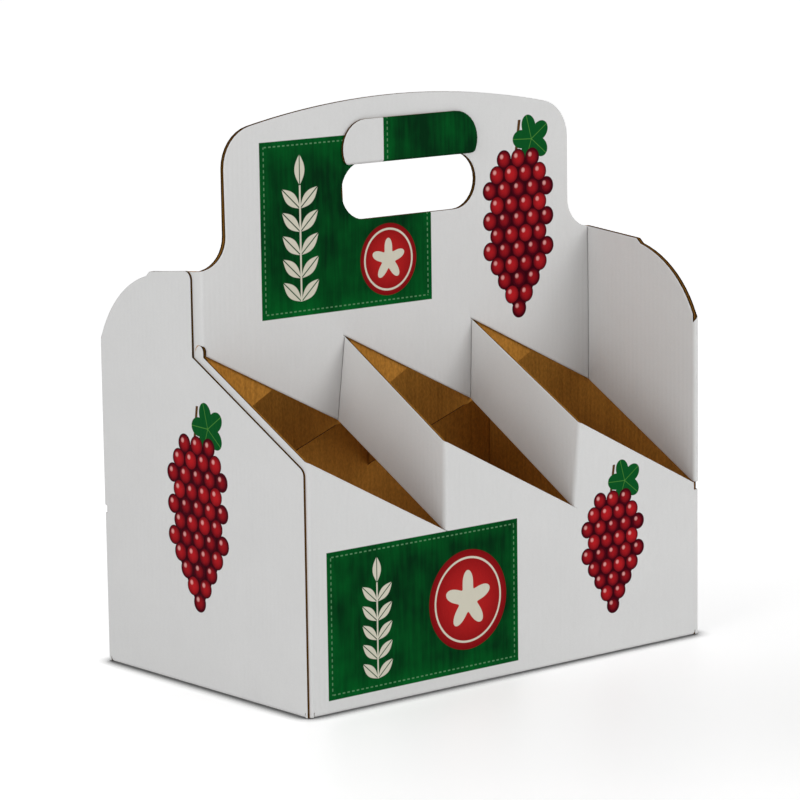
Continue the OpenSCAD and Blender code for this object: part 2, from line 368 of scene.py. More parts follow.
def sheet_outline():
    """The whole sheet's outline: the lap, the upper edges from left to right, then the base flaps."""
    rear = [HALF_SHEET, 0]
    lap = [
        [-LAP_REACH, FOLD_R],
        [-LAP_REACH, LAP_LOW - LAP_REACH * SLOPE],
        [-LAP_UPPER, LAP_LOW - LAP_UPPER * SLOPE],
        [-LAP_UPPER, SHOULDER_Z - LAP_UPPER * SHOULDER_FALL / STEP_Y],
        [0, SHOULDER_Z],
    ]
    wall = np.array([outer_wall(-s, z) for s, z in shoulder()[::-1]])
    panel_end = np.array([[PANEL_FOLD[-1], SHOULDER_Z]])
    right_foot = np.array([outer_wall(HALF_D - LAP_INSET, FOOT_Z)])
    left_foot = [[WALL_FOLD[0] - LAP_GAP, FOOT_Z], [WALL_FOLD[0] - LAP_GAP, FOLD_R]]
    front_edges = [handle(GLUED_X), panel_end, lining(), wall[1:]]
    rear_edges = [handle(-OUTER_X), panel_end, lining(), wall[1:-1], lap_edges(), right_foot]
    bottom = [base_flap(mid, outline) for mid, outline, lift in BASE_FLAPS[::-1]]
    return np.vstack((lap, *front_edges, *[edge + rear for edge in rear_edges], *bottom, left_foot))


def cut_along(path):
    """A thin closed cut along a path, pointed at both ends."""
    path = np.array(path, float)
    way = np.gradient(path, axis=0)
    side = np.column_stack((-way[:, 1], way[:, 0])) / np.linalg.norm(way, axis=1)[:, None] * CUT
    return np.vstack((path[:1], (path + side)[1:-1], path[-1:], (path - side)[-2:0:-1]))


def slits():
    """The three slits of one half: the first starts in a round finger, the last ends in a relief cut."""
    cuts = []
    for number in range(1, CELLS + 1):
        start = PANEL_FOLD[number - 1] - CREASE - CUT
        end = WALL_FOLD[number] + CREASE + CUT
        lengths = start, start + CUT_POINT, (start + end) / 2, end - CUT_POINT, end
        path = [[u, slit_z(number, u)] for u in lengths]
        if number == 1:
            right = FINGER_MID[0] + FINGER_R
            path[:2] = [*arc(FINGER_MID, FINGER_R, 180, 0, steps=10), [right, slit_z(1, right)]]
        if number < CELLS:
            cuts.append(cut_along(path))
        else:
            left = TURN_START - RELIEF_BACK
            path[3:] = [[left, slit_z(number, left)], [end, slit_z(number, left)]]
            relief = [[end, WALL_LOW - RELIEF_H], [left, WALL_LOW - RELIEF_H]]
            cuts.append(np.insert(cut_along(path), len(path), relief, axis=0))
    return cuts


def stadium(mid, w, h):
    x, r = w / 2 - h / 2, h / 2
    return np.vstack((arc((x, 0), r, -90, 90, steps=16), arc((-x, 0), r, 90, 270, steps=16))) + mid


def hand_hole_mid(lap_x, x):
    return np.array([np.interp(x, panel_x(lap_x), PANEL_U), HOLE_TOP - HOLE_H / 2])


def sheet_loops():
    """The sheet's outline, then its slits and hand holes."""
    loops = [sheet_outline()]
    for start, lap_x, hole_x in ((0, GLUED_X, HOLE_X), (HALF_SHEET, -OUTER_X, -HOLE_X)):
        loops += [cut + [start, 0] for cut in slits()]
        loops.append(stadium(hand_hole_mid(lap_x, hole_x) + [start, 0], HOLE_W, HOLE_H))
    return loops


def into_board(loop, hole):
    """A loop moved from the cut edge to where the board has its full thickness."""
    sharpest = 0.4
    ahead = np.roll(loop, -1, axis=0) - loop
    ahead /= np.linalg.norm(ahead, axis=1)[:, None]
    behind = np.roll(ahead, 1, axis=0)
    around = np.sum(loop[:, 0] * np.roll(loop[:, 1], -1) - loop[:, 1] * np.roll(loop[:, 0], -1))
    side = 1 if (around > 0) != hole else -1
    first, second = (side * np.column_stack((-way[:, 1], way[:, 0])) for way in (behind, ahead))
    lean = 1 + np.sum(first * second, axis=1)[:, None]
    mitre = (first + second) / np.maximum(lean, sharpest)
    tip = (behind - ahead) / 2
    return loop + CRUSH_W * np.where(lean < sharpest, tip, mitre)


def edge_distance(points, loops):
    """Distance of points of the flat sheet from its nearest cut edge, up to the crushed width."""
    nearest = np.full(len(points), CRUSH_W)
    for loop in loops:
        for start, end in zip(loop, np.roll(loop, -1, axis=0)):
            low, high = np.minimum(start, end) - CRUSH_W, np.maximum(start, end) + CRUSH_W
            near = np.flatnonzero(np.all((points > low) & (points < high), axis=1))
            way = end - start
            share = np.clip((points[near] - start) @ way / (way @ way), 0, 1)
            off = np.linalg.norm(points[near] - start - share[:, None] * way, axis=1)
            nearest[near] = np.minimum(nearest[near], off)
    return nearest


# Folding
def turn(u, w, start, length, mid, r, first, sweep):
    """Place on a fold about mid that starts at a length of the sheet and sweeps some degrees."""
    share = (u - start) / length
    angle = np.radians(first + sweep * share)
    outward = w if sweep > 0 else -w
    groove = GROOVE * np.sin(math.pi * share) ** GROOVE_POWER * (abs(sweep) == 90)
    reach = r + outward + groove * (MID - outward) / BOARD
    return mid[0] + reach * np.cos(angle), mid[1] + reach * np.sin(angle)


def crease(fold_u, mid, first, sweep):
    """A square fold about mid, with the length of the sheet where it starts."""
    start = fold_u - CREASE
    return start, lambda u, w: turn(u, w, start, 2 * CREASE, mid, BEND, first, sweep)


def legs(strip, lap_x):
    """The straight runs and folds of one strip between slits, each with the length where it starts."""
    panel_places, wall_places = panel_x(lap_x), wall_x(lap_x)
    route = [(-math.inf, lambda u, w: (lap_x - w, ROOT - u - CREASE))]
    if strip > 0:
        face = FACE[strip] + MID if strip < CELLS else LINING_X
        fold_u, wall_u = PANEL_FOLD[strip], WALL_FOLD[strip]
        far_u, far_y = (wall_u - CREASE, FOLD_END) if strip < CELLS else (TURN_START, TURN_Y)
        band_u, band_y = (fold_u + CREASE, far_u), (-MID - BEND, far_y)
        route += [
            crease(PANEL_FOLD[0], (lap_x + BEND, ROOT), 180, 90),
            (CREASE, lambda u, w: (np.interp(u, PANEL_U, panel_places), -MID - w)),
            crease(fold_u, (face - BEND, -MID - BEND), 90, -90),
            (fold_u + CREASE, lambda u, w: (face - w, np.interp(u, band_u, band_y))),
        ]
    else:
        wall_u, face = WALL_FOLD[0], lap_x
    if strip < CELLS:
        route += [
            crease(wall_u, (face + BEND, FOLD_END), 180, 90),
            (wall_u + CREASE, lambda u, w: (np.interp(u, WALL_U, wall_places), WALL_Y - w)),
            crease(WALL_FOLD[-1], (OUTER_X - BEND, FOLD_END), 270, 90),
        ]
    else:
        mid = ((OUTER_X + LINING_X) / 2, TURN_Y)
        length = TURN_END - TURN_START
        route.append((TURN_START, lambda u, w: turn(u, w, TURN_START, length, mid, TURN_R, 180, 180)))
    outer = OUTER_START if strip < CELLS else TURN_END
    route.append((outer, lambda u, w: (OUTER_X + w, FOLD_END + u - OUTER_START)))
    return route


def strip_of(u, z):
    """Number of slit lines that pass below a point of one half's sheet."""
    count = sum((z > slit_z(number, u)).astype(int) for number in range(1, CELLS + 1))
    off = np.clip(np.abs(u - FINGER_MID[0]) / FINGER_R, 0, 1)
    in_finger = (off < 1) & (z < FINGER_MID[1] + FINGER_R * np.sqrt(1 - off ** 2))
    return np.where(in_finger, 0, count)


def base_fold(u, z, w):
    """Offset to the printed side and height of a point, with the base flaps folded in under the box."""
    out, up = w.copy(), z.copy()
    for mid_u, outline, lift in BASE_FLAPS:
        here = (np.abs(u - mid_u) < outline[0][0] + CUT) & (z < FOLD_R)
        angle = np.clip((FOLD_R - z[here]) / BEND, 0, math.pi / 2)
        reach = BEND + w[here]
        past = np.maximum(-z[here], 0)
        rise = np.interp(past, *zip(*lift)) * (past > 0)
        out[here] = -(BEND - reach * np.cos(angle) + past)
        up[here] = FOLD_R - reach * np.sin(angle) + rise
    return out, up


# How far each fold seen from the front strays from upright, along the box and up, at its foot and its top
PANEL_STRAY = [((0, 0), (0, 0)), ((-1.0, 2.5), (4.3, 0)), ((2.2, 3.3), (3.4, 0)), ((0.3, 4.0), (0.3, 0))]
WALL_STRAY = [((0, 0), (0, 0)), ((0, 0), (0.6, -0.6)), ((0, 0), (4.7, -2.4)), ((0, 0), (0, 0))]
# How far below a fold's foot and above its top the stray fades away
STRAY_BELOW, STRAY_ABOVE = 40, 50
PANEL_HEIGHTS = [PANEL_LOW - STRAY_BELOW, PANEL_LOW, SLIT_Z, SLIT_Z + STRAY_ABOVE]
WALL_HEIGHTS = [WALL_LOW - STRAY_BELOW, WALL_LOW, WALL_HIGH, WALL_HIGH + STRAY_ABOVE]


def fold_stray(z, heights, foot, top):
    return np.column_stack([np.interp(z, heights, (0, foot[i], top[i], 0)) for i in range(2)])


def sheet_stray(flat):
    """How far points of the front half lie from their places in a perfectly folded box, along it and up."""
    u, z = flat[:, 0], flat[:, 1]
    strip = np.where(u < REAR_START, strip_of(u, z), -1)
    moved = np.zeros((len(u), 2))
    for number in range(CELLS + 1):
        met = [(PANEL_FOLD[i], PANEL_HEIGHTS, *PANEL_STRAY[i]) for i in range(number + 1)]
        met += [(WALL_FOLD[i], WALL_HEIGHTS, *WALL_STRAY[i]) for i in range(number, CELLS + 1)]
        for (start, *first), (end, *last) in zip(met, met[1:]):
            here = (strip == number) & (u >= start) & (u < end)
            share = ((u[here] - start) / (end - start))[:, None]
            near = fold_stray(z[here] + (u[here] - start) * SLOPE, *first)
            far = fold_stray(z[here] - (end - u[here]) * SLOPE, *last)
            moved[here] = near * (1 - share) + far * share
    return moved


def fold_sheet(flat):
    """Places of the flat sheet's points in the folded box, in metres."""
    u, z, w = flat.T
    back = u > REAR_START
    u_half = u - HALF_SHEET * back
    out, up = base_fold(u, z, w)
    strip = strip_of(u_half, z)
    place = np.column_stack((u, u, up))
    for half, lap_x in ((0, GLUED_X), (1, -OUTER_X)):
        for number in range(CELLS + 1):
            chosen = (back == half) & (strip == number)
            for start, leg in legs(number, lap_x):
                here = chosen & (u_half >= start)
                place[here, 0], place[here, 1] = leg(u_half[here], out[here])
    place[:, [0, 2]] += sheet_stray(flat)
    place[back, :2] *= -1
    return place * MM


FLAP_MID = hand_hole_mid(-OUTER_X, -HOLE_X)


def fold_hand_flap(flat):
    """The hand flap leaves the rear layer at the hole's upper edge and bends up against the front one."""
    u, z, w = flat.T
    past = HOLE_TOP - z
    angle = -math.pi * np.clip(past / FLAP_WRAP, 0, 1)
    half_gap = (2 * BOARD + FLAP_GAP) / 2
    normal = np.column_stack((np.cos(angle) / half_gap, np.sin(angle) / FLAP_DEPTH))
    normal /= np.linalg.norm(normal, axis=1)[:, None]
    pressed = w * (1 + FLAP_THIN * np.sin(angle))
    x = HOLE_X - (u - FLAP_MID[0])
    y = MID - half_gap + half_gap * np.cos(angle) + pressed * normal[:, 0]
    up = HOLE_TOP + FLAP_DEPTH * np.sin(angle) + pressed * normal[:, 1] + np.maximum(past - FLAP_WRAP, 0)
    return np.column_stack((x, y, up)) * MM


def flap_shift(flat):
    """The flap shows the print of the rear panel, which it is cut from."""
    return np.full((len(flat), 2), (HALF_SHEET + FLAP_PRINT_SHIFT, 0))


# Making the sheets
def select_only(piece):
    bpy.ops.object.select_all(action="DESELECT")
    bpy.context.view_layer.objects.active = piece
    piece.select_set(True)


def edit_all(edit, **settings):
    """Runs an edit on the whole active piece, in edit mode."""
    bpy.ops.object.mode_set(mode="EDIT")
    bpy.ops.mesh.select_all(action="SELECT")
    edit(**settings)
    bpy.ops.object.mode_set(mode="OBJECT")


def new_piece(name, points, edges, faces):
    mesh = bpy.data.meshes.new(name)
    mesh.from_pydata([tuple(p) for p in points], edges, faces)
    piece = bpy.data.objects.new(name, mesh)
    bpy.context.scene.collection.objects.link(piece)
    select_only(piece)
    return piece


def flat_liner(name, loops, columns, rows):
    """Fills the flat outline inside its crushed edges, and cuts it at the places where it will bend."""
    points, edges, rim_points, rim_faces = [], [], [], []
    for number, loop in enumerate(loops):
        inner = into_board(loop, number > 0)
        count, first, rim = len(loop), len(points), len(rim_points)
        points += [(u, z, 0) for u, z in inner]
        rim_points += [(u, z, 0) for u, z in (*loop, *inner)]
        for i in range(count):
            after = (i + 1) % count
            edges.append((first + i, first + after))
            rim_faces.append((rim + i, rim + after, rim + count + after, rim + count + i))
    rim_piece = new_piece(name + "_rim", rim_points, [], rim_faces)
    piece = new_piece(name, points, edges, [])
    edit_all(bpy.ops.mesh.fill, use_beauty=True)
    rim_piece.select_set(True)
    bpy.ops.object.join()
    edit_all(bpy.ops.mesh.remove_doubles, threshold=WELD)
    edit_all(cut_across, columns=columns, rows=rows)
    edit_all(bpy.ops.mesh.normals_make_consistent, inside=False)
    return piece


def cut_across(columns, rows):
    """Cuts the piece in edit mode at lengths of the sheet and at heights."""
    for places, normal in ((columns, (1, 0, 0)), (rows, (0, 1, 0))):
        for place in places:
            bpy.ops.mesh.select_all(action="SELECT")
            bpy.ops.mesh.bisect(plane_co=[place * n for n in normal], plane_no=normal)


def copy_of(piece, name):
    twin = piece.copy()
    twin.data = piece.data.copy()
    twin.name = name
    bpy.context.scene.collection.objects.link(twin)
    return twin


def fluting(name, loops, rows):
    """The wavy layer: columns across the sheet, each cut where it meets the outline."""
    starts = np.vstack(loops)
    ends = np.vstack([np.roll(loop, -1, axis=0) for loop in loops])
    wave = MID - LINER - FLUTING / 2
    points, faces, before = [], [], []
    for u in np.arange(starts[:, 0].min(), starts[:, 0].max(), FLUTE_PITCH / FLUTE_FACETS):
        hit = (starts[:, 0] <= u) != (ends[:, 0] <= u)
        share = (u - starts[hit, 0]) / (ends[hit, 0] - starts[hit, 0])
        z = np.sort(starts[hit, 1] + share * (ends[hit, 1] - starts[hit, 1]))
        w = wave * math.sin(2 * math.pi * u / FLUTE_PITCH)
        column = []
        for low, high in zip(z[::2] + LINER, z[1::2] - LINER):
            inner = [row for row in rows if low + CRUSH_W < row < high - CRUSH_W]
            heights = [low, low + CRUSH_W, *inner, high - CRUSH_W, high] if high > low + 2 * CRUSH_W else []
            column.append(list(range(len(points), len(points) + len(heights))))
            points += [(u, height, w) for height in heights]
        spans = zip(before, column) if len(column) == len(before) else []
        for old, new in spans:
            if len(old) == len(new):
                faces += [(old[i], new[i], new[i + 1], old[i + 1]) for i in range(len(new) - 1)]
        before = column
    piece = new_piece(name, points, [], faces)
    edit_all(bpy.ops.mesh.delete_loose)
    return piece


def thicken(piece, thickness):
    select_only(piece)
    solid = piece.modifiers.new("thickness", "SOLIDIFY")
    solid.thickness = thickness
    solid.offset = 0
    solid.use_even_offset = True
    bpy.ops.object.modifier_apply(modifier=solid.name)


def finish_sheet(piece, layer, loops, fold, print_shift):
    """Presses the sheet at its cut edges, keeps each point's place in the print, and folds it."""
    mesh = piece.data
    flat = np.empty(len(mesh.vertices) * 3)
    mesh.vertices.foreach_get("co", flat)
    flat = flat.reshape(-1, 3) + [0, 0, layer * LINER_MID]
    pressed = flat.copy()
    share = 1 - edge_distance(flat[:, :2], loops) / CRUSH_W
    if layer == 0:
        pressed[:, 2] -= share * (CRUSH / 2 + flat[:, 2] * CRUSH / BOARD * CORE_CRUSH)
    elif layer > 0:
        pressed[:, 2] -= share * CRUSH
    flat[:, :2] += print_shift(flat)
    mesh.attributes.new("flat", "FLOAT_VECTOR", "POINT").data.foreach_set("vector", flat.ravel())
    mesh.vertices.foreach_set("co", fold(pressed).ravel())
    mesh.update()
    select_only(piece)
    edit_all(bpy.ops.mesh.normals_make_consistent, inside=False)
    bpy.ops.object.shade_smooth_by_angle(angle=SMOOTH_ANGLE)


def finish_layers(printed, brown, wavy, loops, fold, print_shift):
    """Gives the three layers of the board their thickness, and folds them together."""
    for piece, layer, thickness in ((printed, 1, LINER), (brown, -1, LINER), (wavy, 0, FLUTING)):
        thicken(piece, thickness)
        finish_sheet(piece, layer, loops, fold, print_shift)
    return printed, brown, wavy


def bend_columns():
    """Lengths of the sheet at which its folds are cut into narrow facets."""
    half = []
    for fold_u in PANEL_FOLD + WALL_FOLD[:-1]:
        half += [*np.linspace(fold_u - CREASE, fold_u + CREASE, FOLD_FACETS + 1)]
        half += [fold_u - 2 * CREASE, fold_u + 2 * CREASE]
    half += [*np.linspace(TURN_START, TURN_END, TURN_FACETS + 1), (TURN_END + OUTER_START) / 2, OUTER_START]
    half += [*np.linspace(WALL_FOLD[-1] - CREASE, OUTER_START, FOLD_FACETS + 1)[:-1]]
    half += [*np.arange(PANEL_FOLD[1] + COLUMN_GAP / 2, WALL_FOLD[2], COLUMN_GAP)]
    return [start + u for start in (0, HALF_SHEET) for u in half]


def bare_lap(brown):
    """Takes the brown liner off the upper part of the glued lap."""
    lap_foot = LAP_LOW - LAP_UPPER * SLOPE
    select_only(brown)
    bpy.ops.object.mode_set(mode="EDIT")
    bpy.ops.mesh.select_all(action="DESELECT")
    bpy.ops.object.mode_set(mode="OBJECT")
    for polygon in brown.data.polygons:
        polygon.select = bool(polygon.center.x < -CREASE and polygon.center.y > lap_foot)
    bpy.ops.object.mode_set(mode="EDIT")
    bpy.ops.mesh.delete(type="FACE")
    bpy.ops.object.mode_set(mode="OBJECT")


def make_carrier():
    loops = sheet_loops()
    bends = [FOLD_R * i / BASE_FACETS for i in range(BASE_FACETS + 1)]
    climbs = [-END_CLIMB, -LOCK_CLIMB, ROOT - TUCK_REACH, -TUCK_REACH - TUCK_CLIMB]
    leans = np.arange(PANEL_LOW, HOLE_TOP + ROW_GAP, ROW_GAP)
    printed = flat_liner("printed_liner", loops, bend_columns(), [*bends, *climbs, *leans])
    brown = copy_of(printed, "brown_liner")
    bare_lap(brown)
    # The fluting ends before the upper part of the glued lap, whose two left corners move to the fold
    core_outline = loops[0].copy()
    core_outline[2:4, 0] = -CREASE
    wavy = fluting("fluting", [core_outline, *loops[1:]], sorted(bends[::3] + climbs))
    return finish_layers(printed, brown, wavy, loops, fold_sheet, sheet_stray)


def make_hand_flap():
    outline = stadium(FLAP_MID + [0, CUT / 2], HOLE_W - 2 * CUT, HOLE_H - CUT)
    rows = [HOLE_TOP - FLAP_WRAP * i / FLAP_FACETS for i in range(1, FLAP_FACETS + 1)]
    printed = flat_liner("hand_flap_liner", [outline], [], rows)
    brown = copy_of(printed, "hand_flap_brown_liner")
    wavy = fluting("hand_flap_fluting", [outline], rows[::-1])
    return finish_layers(printed, brown, wavy, [outline], fold_hand_flap, flap_shift)


# Shader maths
class Value:
    """An output socket of a node. An expression on values adds its Math nodes to the same tree."""

    def __init__(self, tree, socket):
        self.tree = tree
        self.socket = socket

    def maths(self, operation, *inputs, clamp=False):
        settings = {"operation": operation, "use_clamp": clamp}
        return add_node(self.tree, "ShaderNodeMath", settings, dict(enumerate(inputs)))

    def __add__(self, other):
        return self.maths("ADD", self, other)

    def __sub__(self, other):
        return self.maths("SUBTRACT", self, other)

    def __rsub__(self, other):
        return self.maths("SUBTRACT", other, self)

    def __mul__(self, other):
        return self.maths("MULTIPLY", self, other)

    def __truediv__(self, other):
        return self.maths("DIVIDE", self, other)

    def __gt__(self, other):
        return self.maths("GREATER_THAN", self, other)

    def __lt__(self, other):
        return self.maths("LESS_THAN", self, other)

    def __abs__(self):
        return self.maths("ABSOLUTE", self)

    def __round__(self):
        return self.maths("ROUND", self)

    __radd__ = __add__
    __rmul__ = __mul__

    def least(self, other):
        return self.maths("MINIMUM", self, other)

    def most(self, other):
        return self.maths("MAXIMUM", self, other)

    def fraction(self):
        return self.maths("FRACT", self)

    def sine(self):
        return self.maths("SINE", self)

    def cosine(self):
        return self.maths("COSINE", self)

    def length_with(self, other):
        return self.maths("SQRT", self * self + other * other)

    def angle_from(self, other):
        return self.maths("ARCTAN2", self, other)

    def within(self):
        """The value kept between 0 and 1."""
        return self.maths("ADD", self, 0.0, clamp=True)

    def inked(self, soft=0.25):
        """1 where a value is above zero, with the soft edge of ink on paper."""
        return self.maths("MULTIPLY_ADD", self, 1 / soft, 0.5, clamp=True)


def add_node(tree, kind, settings, sockets, output=0):
    """Adds a node with its settings, then the values or links of its sockets, and returns an output."""
    made = tree.nodes.new(kind)
    for name, setting in settings.items():
        setattr(made, name, setting)
    for key, value in sockets.items():
        if isinstance(value, Value):
            tree.links.new(value.socket, made.inputs[key])
        else:
            made.inputs[key].default_value = value
    return Value(tree, made.outputs[output])


def add_output(tree, kind, surface):
    out = tree.nodes.new(kind)
    tree.links.new(surface.socket, out.inputs["Surface"])


def empty_tree(holder):
    """Turns on the nodes of a material or world, and clears them."""
    holder.use_nodes = True
    holder.node_tree.nodes.clear()
    return holder.node_tree


def mix(tree, share, first, second):
    first, second = (c if isinstance(c, Value) else (*c, 1) for c in (first, second))
    return add_node(tree, "ShaderNodeMix", {"data_type": "RGBA"}, {0: share, 6: first, 7: second}, 2)


def either(switch, off, on):
    return switch * (on - off) + off


def tinted(colour, share):
    return [c * share for c in colour]


def stretched(tree, flat, u, z):
    return add_node(tree, "ShaderNodeVectorMath", {"operation": "MULTIPLY"}, {0: flat, 1: (u, z, 1)})


def grain(tree, where, scale, detail=3.0):
    sockets = {"Vector": where, "Scale": scale, "Detail": detail}
    return add_node(tree, "ShaderNodeTexNoise", {"normalize": True}, sockets)


def new_finish(name):
    """A material that reads each point's place in the flat sheet, in millimetres."""
    material = bpy.data.materials.new(name)
    tree = empty_tree(material)
    flat = add_node(tree, "ShaderNodeAttribute", {"attribute_name": "flat"}, {}, 1)
    u, z, w = (add_node(tree, "ShaderNodeSeparateXYZ", {}, {0: flat}, i) for i in range(3))
    return material, tree, flat, u, z, w


def set_surface(tree, colour, rough, height):
    """Paper surface with bump given in millimetres."""
    bump = add_node(tree, "ShaderNodeBump", {}, {"Strength": 1.0, "Distance": MM, "Height": height})
    sockets = {"Base Color": colour, "Roughness": rough, "Normal": bump, "Specular IOR Level": PAPER_GLOSS}
    surface = add_node(tree, "ShaderNodeBsdfPrincipled", {}, sockets)
    add_output(tree, "ShaderNodeOutputMaterial", surface)


# Papers and inks
WHITE_PAPER = (0.72, 0.72, 0.715)
KRAFT_PAPER = (0.46, 0.205, 0.035)
FLUTING_PAPER = (0.34, 0.17, 0.04)
PAPER_GLOSS = 0.015
CREAM_INK = (0.66, 0.63, 0.52)
DEEP_GREEN, BRIGHT_GREEN = (0.0005, 0.025, 0.006), (0.0008, 0.135, 0.020)
STITCH_INK = (0.20, 0.42, 0.22)
BRIGHT_RED, DEEP_RED = (0.46, 0.016, 0.016), (0.20, 0.004, 0.006)
BRIGHT_GRAPE, DEEP_GRAPE = (0.50, 0.014, 0.018), (0.060, 0.001, 0.006)
GRAPE_GLEAM, GRAPE_OUTLINE = (0.90, 0.45, 0.42), (0.035, 0.001, 0.004)
STEM_INK = (0.09, 0.04, 0.012)
VEIN_INK, LEAF_INK = (0.07, 0.24, 0.04), (0.003, 0.085, 0.016)

# Middle and size of each green field in the flat sheet, and the height between the two in front
WALL_FIELD, PANEL_FIELD = (156.7, 44.5, 126.0, 75.0), (95.1, 231.5, 114.0, 91.0)
FIELD_SPLIT = 140.0
STITCH_PITCH, STITCH_INSET, STITCH_HALF_W = 3.0, 2.6, 0.35
# Place of the sprig from a field's middle, and its size on the wall and on the panel
SPRIG_X, WALL_SPRIG, PANEL_SPRIG = -31.0, 0.82, 1.0
# Place of each roundel from its field's middle, and its radius
WALL_ROUNDEL, PANEL_ROUNDEL = (29.0, 0.0, 26.0), (27.5, -21.5, 19.0)
# Length that takes a motif off the sheet
FAR = 2000.0
# Top of each bunch in the flat sheet, its size and its rows
WALL_BUNCH, PANEL_BUNCH = (286.7, 83.0, 0.86, 9.55), (214.0, 256.0, 0.98, 11.55)
END_BUNCH = (HALF_SHEET + 430.0, 126.0, 0.98, 11.55)
GRAPE_PITCH, GRAPE_ROW = 10.4, 8.3
GRAPE_R = GRAPE_PITCH * 0.46


def field_ink(tree, colour, flat, u, z):
    """Green fields with a stitched border: a bare one on the rear panel, two with motifs on the front."""
    upper = z > FIELD_SPLIT
    rear = u > HALF_SHEET
    mid_u, mid_z, width, height = (either(upper, *pair) for pair in zip(WALL_FIELD, PANEL_FIELD))
    x = u - mid_u - rear * HALF_SHEET
    y = z - mid_z
    from_side = width / 2 - abs(x)
    from_end = height / 2 - abs(y)
    inside = from_side.least(from_end)
    shown = upper.most(1 - rear)
    colour = mix(tree, inside.inked() * shown, colour, field_green(tree, flat, inside, y))
    run = either(from_end < from_side, y, x)
    dash = ((run * (2 * math.pi / STITCH_PITCH)).sine() + 0.1).inked(0.6)
    stitch = (STITCH_HALF_W - abs(inside - STITCH_INSET)).inked() * dash * shown
    colour = mix(tree, stitch * 0.5, colour, STITCH_INK)
    off_rear = x + rear * FAR
    size = either(upper, WALL_SPRIG, PANEL_SPRIG)
    colour = sprig_ink(tree, colour, (off_rear - SPRIG_X) / size, y / size)
    roundel_x, roundel_y, r = (either(upper, *pair) for pair in zip(WALL_ROUNDEL, PANEL_ROUNDEL))
    return roundel_ink(tree, colour, off_rear - roundel_x, y - roundel_y, r)


def field_green(tree, flat, inside, y):
    """Streaked green, brighter along the field's rim and deeper towards its top."""
    rim_w, fade_y, fade_h = 10, -30, 60
    streaks = grain(tree, stretched(tree, flat, 0.5, 0.035), 1.0)
    clouds = grain(tree, stretched(tree, flat, 0.06, 0.05), 1.0, 2.0)
    rim = (1 - inside / rim_w).within()
    bright = streaks * 0.6 + clouds - 0.4 + rim * 0.3 - (y - fade_y).inked(fade_h) * 0.25
    return mix(tree, bright.within(), DEEP_GREEN, BRIGHT_GREEN)


def sprig_ink(tree, colour, x, y):
    """A cream stem with five pairs of plain leaves and one at its tip."""
    pair, pairs, length, lean, stem_half_w = 12.0, 5, 16.0, math.radians(42), 0.55
    rise = (y + length / 2) / pair + pairs / 2
    up = rise.fraction() * pair
    out = abs(x)
    along_leaf = out * math.cos(lean) + up * math.sin(lean)
    across = abs(up * math.cos(lean) - out * math.sin(lean))
    grown = (rise > 0) * (rise < pairs)
    blades = blade_ink(along_leaf, across, length) * grown
    tip = blade_ink((rise - pairs) * pair, out, length)
    stem = (stem_half_w - out).inked() * grown
    return mix(tree, blades.most(tip).most(stem), colour, CREAM_INK)


def blade_ink(along_leaf, across, length):
    """A pointed leaf with its vein left bare."""
    half_w, vein_half_w = 3.3, 0.3
    blade = (along_leaf * (math.pi / length)).sine() * half_w - across
    return blade.inked() * (across - vein_half_w).inked() * (along_leaf > 0) * (along_leaf < length)


def roundel_ink(tree, colour, x, y, r):
    """A red disc with a cream ring and a five-lobed leaf, each set by its share of the radius."""
    ring_r, leaf_r, lobe, lobes = 0.84, 0.42, 0.17, 5
    ring_half_w = 0.55
    off = x.length_with(y) / r
    red = mix(tree, off * off, BRIGHT_RED, DEEP_RED)
    colour = mix(tree, ((1 - off) * r).inked(), colour, red)
    ring = (ring_half_w - abs(off - ring_r) * r).inked()
    wave = (x.angle_from(y) * lobes).cosine()
    leaf = ((wave * lobe + leaf_r - off) * r).inked()
    return mix(tree, ring.most(leaf) * (off < 1), colour, CREAM_INK)


def bunch_width(row, rows):
    """Half-width of a bunch at one of its rows, in grapes."""
    top, growth, widest = 1.3, 0.55, 2.3
    return (row * growth + top).least(widest).least((rows - row) / 2)


def grape_row_ink(tree, colour, x, down, rows, shift, shade):
    """Every other row of a bunch, as round grapes with a gleam, inside the bunch's tapering outline."""
    outline_r, gleam_r, gleam_off = 1.08, 0.24, 0.33
    row = round((down / GRAPE_ROW - shift) / 2) * 2 + shift
    column = round(x / GRAPE_PITCH - shift / 2) + shift / 2
    off_x, off_down = x - column * GRAPE_PITCH, down - row * GRAPE_ROW
    off = off_x.length_with(off_down) / GRAPE_R
    kept = (abs(column) < bunch_width(row, rows)) * (row > -1)
    tint = (row * 0.37 + column * 0.61).fraction() * 0.35
    grape = mix(tree, (off * off * 0.75 + tint + shade).within(), BRIGHT_GRAPE, DEEP_GRAPE)
    gleam_x, gleam_down = off_x / GRAPE_R + gleam_off, off_down / GRAPE_R + gleam_off
    gleam = (gleam_r - gleam_x.length_with(gleam_down)).inked(0.2)
    grape = mix(tree, gleam * 0.7, grape, GRAPE_GLEAM)
    colour = mix(tree, ((outline_r - off) * GRAPE_R).inked() * kept, colour, GRAPE_OUTLINE)
    return mix(tree, ((1 - off) * GRAPE_R).inked() * kept, colour, grape)


